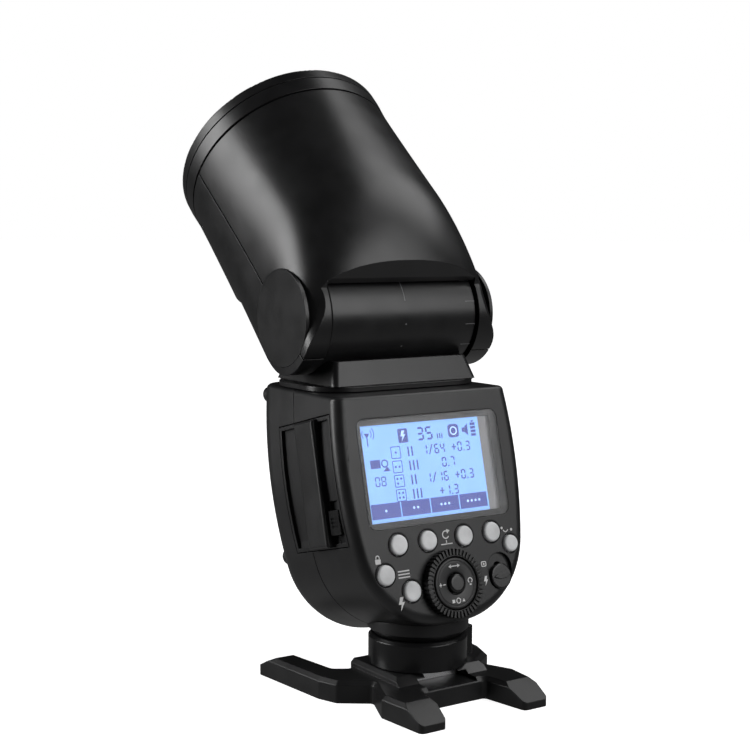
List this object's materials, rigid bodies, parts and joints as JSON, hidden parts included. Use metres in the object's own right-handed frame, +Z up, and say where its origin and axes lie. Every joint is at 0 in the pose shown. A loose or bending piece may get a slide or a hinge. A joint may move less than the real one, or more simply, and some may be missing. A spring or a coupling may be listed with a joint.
{
  "type": "speedlight flash",
  "caption": "Round-head camera flash with tilting and swivelling head, display panel and side battery, standing on a small four-legged shoe stand.",
  "frame": {"origin": "centre of the stand's tripod thread, in the plane the stand rests on", "axes": "+Z up, +Y the way the flash fires with the head forward, +X to the right of someone reading the display"},
  "size_m": [0.076, 0.1451, 0.1999],
  "materials": {
    "black_rubber": "matt black",
    "board": "green solder mask",
    "brass": "turned brass",
    "bright_steel": "ground steel",
    "capacitor_sleeve": "dark blue sleeve",
    "cell_wrap": "blue wrap",
    "display": "backlit liquid-crystal panel",
    "gold_contact": "gold-plated",
    "head_plastic": "fine texture, semi-gloss black",
    "housing_plastic": "fine spark-eroded texture, satin black",
    "inner_plastic": "black moulded",
    "key_rubber": "light grey satin",
    "lens_clear": "frosted ribbed acrylic",
    "magnet": "nickel plated",
    "mask_print": "printed grey-black",
    "red_window": "deep red translucent",
    "reflector_metal": "bright anodised aluminium",
    "screw_steel": "black-oxide steel",
    "shoe_metal": "bright satin metal",
    "stand_plastic": "fine moulded texture, satin black",
    "trim_plastic": "smooth black",
    "tube_glass": "clear quartz glass",
    "window_clear": "clear hard-coated acrylic"
  },
  "bodies": {
    "stand": {"mini_stand": "stand_plastic", "thread_insert": "brass"},
    "flash_body": {"rear_housing": "housing_plastic", "front_housing": "housing_plastic", "housing_screws": "screw_steel", "assist_window": "red_window", "lcd_window": "window_clear", "lcd_mask": "mask_print", "lcd_module": "display", "control_board": "board", "dial_core": "inner_plastic", "battery_bay": "inner_plastic", "port_sockets": "inner_plastic", "main_capacitor": "capacitor_sleeve", "main_board": "board", "hot_shoe_foot": "shoe_metal", "contact_pins": "gold_contact", "foot_collar": "housing_plastic"},
    "lock_ring": {"lock_ring": "trim_plastic"},
    "lock_pin": {"lock_pin": "bright_steel"},
    "battery": {"battery_case": "housing_plastic", "battery_cells": "cell_wrap"},
    "battery_latch": {"battery_latch": "trim_plastic"},
    "port_cover": {"port_cover": "black_rubber"},
    "set_key": {"set_key": "trim_plastic"},
    "nav_gimbal": {"nav_gimbal": "inner_plastic"},
    "nav_pad": {"nav_pad": "trim_plastic"},
    "dial_wheel": {"dial_wheel": "trim_plastic"},
    "mode_switch": {"mode_switch": "trim_plastic"},
    "swivel": {"swivel_base": "head_plastic", "swivel_retainer": "bright_steel", "hinge_barrel": "head_plastic", "tilt_washers": "bright_steel"},
    "detent_plunger": {"detent_plunger": "bright_steel"},
    "head": {"head_top_shell": "head_plastic", "head_bottom_shell": "head_plastic", "head_screws": "screw_steel", "front_ring": "trim_plastic", "ring_magnets": "magnet", "front_lens": "lens_clear", "front_frame": "inner_plastic", "guide_rods": "bright_steel", "zoom_motor": "bright_steel", "modelling_led": "board", "head_board": "board", "pivot_caps": "head_plastic", "hinge_shaft": "bright_steel", "tilt_detent_disc": "bright_steel"},
    "zoom_carriage": {"zoom_carriage": "inner_plastic", "reflector": "reflector_metal", "flash_tube": "tube_glass"},
    "lead_screw": {"lead_screw": "bright_steel"},
    "softkey_1": {"softkey_1": "key_rubber"},
    "softkey_2": {"softkey_2": "key_rubber"},
    "softkey_3": {"softkey_3": "key_rubber"},
    "softkey_4": {"softkey_4": "key_rubber"},
    "sync_key": {"sync_key": "key_rubber"},
    "menu_key": {"menu_key": "key_rubber"},
    "test_key": {"test_key": "key_rubber"}
  },
  "joints": [
    {"name": "foot_slide", "type": "slide", "parent": "stand", "child": "flash_body", "axis": [0, -1, 0], "range_m": [0, 0.032]},
    {"name": "lock_ring_turn", "type": "hinge", "parent": "flash_body", "child": "lock_ring", "pos_m": [0, 0, 0.0144], "axis": [0, 0, -1], "range_deg": [0, 70]},
    {"name": "lock_pin_slide", "type": "slide", "parent": "flash_body", "child": "lock_pin", "axis": [0, 0, -1], "range_m": [0, 0.0015]},
    {"name": "battery_slide", "type": "slide", "parent": "flash_body", "child": "battery", "axis": [-1, 0, 0], "range_m": [0, 0.06]},
    {"name": "battery_latch_slide", "type": "slide", "parent": "battery", "child": "battery_latch", "axis": [0, 0.2433, 0.97], "range_m": [0, 0.0025], "stiffness_N_per_m": 300},
    {"name": "port_cover_hinge", "type": "hinge", "parent": "flash_body", "child": "port_cover", "pos_m": [0.03405, 0.00028, 0.07262], "axis": [0, -0.2433, -0.97], "range_deg": [0, 95]},
    {"name": "set_key_press", "type": "slide", "parent": "flash_body", "child": "set_key", "axis": [0, 0.97, -0.2433], "range_m": [0, 0.0006], "stiffness_N_per_m": 800},
    {"name": "nav_rock_up_down", "type": "hinge", "parent": "flash_body", "child": "nav_gimbal", "pos_m": [0, -0.0189, 0.03826], "axis": [1, 0, 0], "range_deg": [-2, 2], "stiffness_Nm_per_rad": 0.4},
    {"name": "nav_rock_left_right", "type": "hinge", "parent": "nav_gimbal", "child": "nav_pad", "pos_m": [0, -0.0189, 0.03826], "axis": [0, 0.2433, 0.97], "range_deg": [-2, 2], "stiffness_Nm_per_rad": 0.4},
    {"name": "dial_turn", "type": "hinge", "parent": "flash_body", "child": "dial_wheel", "pos_m": [0, -0.01885, 0.03825], "axis": [0, -0.97, 0.2433], "continuous": true},
    {"name": "mode_switch_slide", "type": "slide", "parent": "flash_body", "child": "mode_switch", "axis": [0, 0.2433, 0.97], "range_m": [0, 0.0031]},
    {"name": "head_swivel", "type": "hinge", "parent": "flash_body", "child": "swivel", "pos_m": [0, 0.0242, 0.096], "axis": [0, 0, 1], "range_deg": [-180, 150]},
    {"name": "head_tilt", "type": "hinge", "parent": "swivel", "child": "head", "pos_m": [0, 0.0242, 0.11865], "axis": [1, 0, 0], "range_deg": [-48.5, 78.5]},
    {"name": "detent_plunger_slide", "type": "slide", "parent": "swivel", "child": "detent_plunger", "axis": [0, 0, 1], "range_m": [-0.001, 0], "stiffness_N_per_m": 400},
    {"name": "zoom_slide", "type": "slide", "parent": "head", "child": "zoom_carriage", "axis": [0, 0.749, 0.6626], "range_m": [-0.013, 0]},
    {"name": "lead_screw_turn", "type": "hinge", "parent": "head", "child": "lead_screw", "pos_m": [0, 0.08361, 0.1345], "axis": [0, 0.749, 0.6626], "range_deg": [-900, 0]},
    {"name": "softkey_1_press", "type": "slide", "parent": "flash_body", "child": "softkey_1", "axis": [0, 0.97, -0.2433], "range_m": [0, 0.0006], "stiffness_N_per_m": 800},
    {"name": "softkey_2_press", "type": "slide", "parent": "flash_body", "child": "softkey_2", "axis": [0, 0.97, -0.2433], "range_m": [0, 0.0006], "stiffness_N_per_m": 800},
    {"name": "softkey_3_press", "type": "slide", "parent": "flash_body", "child": "softkey_3", "axis": [0, 0.97, -0.2433], "range_m": [0, 0.0006], "stiffness_N_per_m": 800},
    {"name": "softkey_4_press", "type": "slide", "parent": "flash_body", "child": "softkey_4", "axis": [0, 0.97, -0.2433], "range_m": [0, 0.0006], "stiffness_N_per_m": 800},
    {"name": "sync_key_press", "type": "slide", "parent": "flash_body", "child": "sync_key", "axis": [0, 0.97, -0.2433], "range_m": [0, 0.0006], "stiffness_N_per_m": 800},
    {"name": "menu_key_press", "type": "slide", "parent": "flash_body", "child": "menu_key", "axis": [0, 0.97, -0.2433], "range_m": [0, 0.0006], "stiffness_N_per_m": 800},
    {"name": "test_key_press", "type": "slide", "parent": "flash_body", "child": "test_key", "axis": [0, 0.97, -0.2433], "range_m": [0, 0.0006], "stiffness_N_per_m": 800}
  ],
  "couplings": [
    {"joint": "lock_pin_slide", "follows": "lock_ring_turn", "m_per_rad": 0.00122},
    {"joint": "lead_screw_turn", "follows": "zoom_slide", "rad_per_m": 1208}
  ]
}
